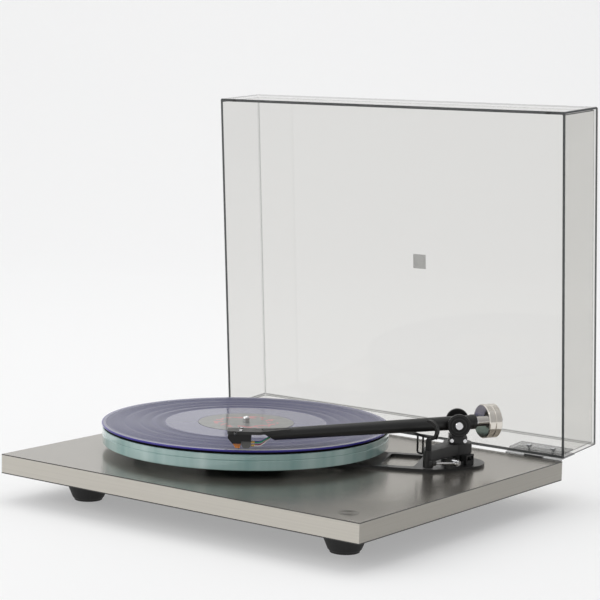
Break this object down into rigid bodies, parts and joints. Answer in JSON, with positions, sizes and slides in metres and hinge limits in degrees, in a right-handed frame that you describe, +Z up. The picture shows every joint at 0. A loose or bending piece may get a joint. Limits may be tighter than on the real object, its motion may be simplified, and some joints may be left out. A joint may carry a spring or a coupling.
{
  "type": "turntable record player",
  "caption": "Belt-driven turntable: thin metal-skinned plinth on feet, glass platter with felt mat, straight black tonearm with counterweight, and a clear hinged lid.",
  "frame": {"origin": "on the surface it stands on, under the centre of its overall box with the lid open", "axes": "+X to the right, +Y to the hinged back of the lid, +Z up"},
  "size_m": [0.448, 0.438, 0.4142],
  "materials": {
    "metal_skin": "brushed, fine grain",
    "metal_edge": "brushed, fine grain",
    "board_core": "plain light board",
    "phenolic": "satin black laminate",
    "rubber_black": "matt",
    "bright_steel": "polished",
    "bearing_brass": "turned",
    "spindle_steel": "turned",
    "hub_plastic": "moulded",
    "platter_glass": "polished float glass with green edge",
    "felt": "felt",
    "vinyl": "grooved, translucent blue",
    "label_paper": "printed paper",
    "motor_paint": "satin",
    "circuit_board": "soldered board",
    "pulley_alloy": "turned",
    "belt_rubber": "smooth",
    "clear_lid": "clear with a smoky tint",
    "hinge_plastic": "moulded, translucent grey",
    "black_casting": "satin black",
    "black_plastic": "moulded",
    "arm_black": "satin black powder coat",
    "weight_steel": "polished",
    "grey_plastic": "moulded",
    "amber_plastic": "translucent amber",
    "gold_pin": "gold plated",
    "lead_wire": "thin insulated wire"
  },
  "bodies": {
    "base": {"plinth_core": "board_core", "plinth_top_skin": "metal_skin", "plinth_bottom_skin": "metal_skin", "plinth_edge_trim": "metal_edge", "top_brace": "phenolic", "bottom_brace": "phenolic", "foot_front_left": "rubber_black", "foot_front_right": "rubber_black", "foot_rear": "rubber_black", "underside_screws": "bright_steel", "bearing_housing": "bearing_brass", "bearing_ball": "bright_steel", "motor_body": "motor_paint", "motor_mount": "rubber_black", "motor_cover": "black_plastic", "control_board": "circuit_board", "power_inlet": "black_plastic", "signal_gland": "black_plastic", "drive_belt": "belt_rubber", "hinge_brackets": "black_plastic", "hinge_pins": "bright_steel", "hinge_bracket_screws": "bright_steel", "arm_pillar": "black_casting", "arm_lock_nut": "spindle_steel", "arm_base": "black_casting", "arm_rest_clip": "black_plastic", "lift_lever_pin": "bright_steel"},
    "lid": {"dust_cover": "clear_lid", "lid_buffers": "rubber_black", "hinge_leaves": "hinge_plastic", "hinge_inner_plates": "hinge_plastic", "hinge_leaf_screws": "bright_steel"},
    "platter": {"sub_platter": "hub_plastic", "spindle": "spindle_steel", "platter_ring": "platter_glass", "platter_disc": "platter_glass", "felt_mat": "felt", "record": "vinyl", "record_label": "label_paper"},
    "pulley": {"motor_pulley": "pulley_alloy"},
    "switch": {"power_switch": "black_plastic"},
    "lever": {"lift_lever": "bright_steel", "lift_lever_tip": "black_plastic"},
    "platform": {"lift_platform": "black_plastic"},
    "bias": {"bias_slider": "black_plastic"},
    "yoke": {"bearing_yoke": "black_casting", "yoke_screws": "bright_steel", "bearing_cap": "black_plastic"},
    "dial": {"force_dial": "black_plastic"},
    "arm": {"arm_tube": "arm_black", "bearing_axle": "spindle_steel", "rear_stub": "bright_steel", "cartridge_body": "black_plastic", "cartridge_cover": "grey_plastic", "stylus_holder": "amber_plastic", "stylus": "spindle_steel", "cartridge_screws": "bright_steel", "cartridge_pins": "gold_pin", "cartridge_leads": "lead_wire"},
    "counterweight": {"counterweight": "weight_steel"}
  },
  "joints": [
    {"name": "platter_spin", "type": "hinge", "parent": "base", "child": "platter", "pos_m": [-0.0565, -0.02855, 0.055], "axis": [0, 0, 1], "continuous": true},
    {"name": "pulley_spin", "type": "hinge", "parent": "base", "child": "pulley", "pos_m": [-0.11851, 0.03347, 0.055], "axis": [0, 0, 1], "continuous": true},
    {"name": "lid_hinge", "type": "hinge", "parent": "base", "child": "lid", "pos_m": [0, 0.14875, 0.0475], "axis": [1, 0, 0], "range_deg": [0, 86]},
    {"name": "arm_swing", "type": "hinge", "parent": "base", "child": "yoke", "pos_m": [0.151, 0.05745, 0.092], "axis": [0, 0, 1], "range_deg": [-22, 32.4]},
    {"name": "arm_lift", "type": "hinge", "parent": "yoke", "child": "arm", "pos_m": [0.151, 0.05745, 0.092], "axis": [-0.5821, 0.8131, 0], "range_deg": [0, 1.75]},
    {"name": "counterweight_slide", "type": "slide", "parent": "arm", "child": "counterweight", "axis": [-0.4833, -0.8755, 0], "range_m": [-0.005, 0.006]},
    {"name": "force_dial_turn", "type": "hinge", "parent": "yoke", "child": "dial", "pos_m": [0.151, 0.05745, 0.092], "axis": [0.5821, -0.8131, 0], "range_deg": [-180, 90]},
    {"name": "lift_lever_raise", "type": "hinge", "parent": "base", "child": "lever", "pos_m": [0.1695, 0.02475, 0.058], "axis": [-1, 0, 0], "range_deg": [0, 45]},
    {"name": "lift_platform_rise", "type": "slide", "parent": "base", "child": "platform", "axis": [0, 0, 1], "range_m": [0, 0.0014]},
    {"name": "bias_slide", "type": "slide", "parent": "base", "child": "bias", "axis": [0, 1, 0], "range_m": [-0.003, 0.003]},
    {"name": "power_switch_rock", "type": "hinge", "parent": "base", "child": "switch", "pos_m": [-0.19, -0.18655, 0.0345], "axis": [1, 0, 0], "range_deg": [0, 12]}
  ],
  "couplings": [
    {"joint": "pulley_spin", "follows": "platter_spin", "ratio": 7.5},
    {"joint": "lift_platform_rise", "follows": "lift_lever_raise", "m_per_rad": 0.001655},
    {"joint": "arm_lift", "follows": "lift_lever_raise", "ratio": 0.037778}
  ]
}
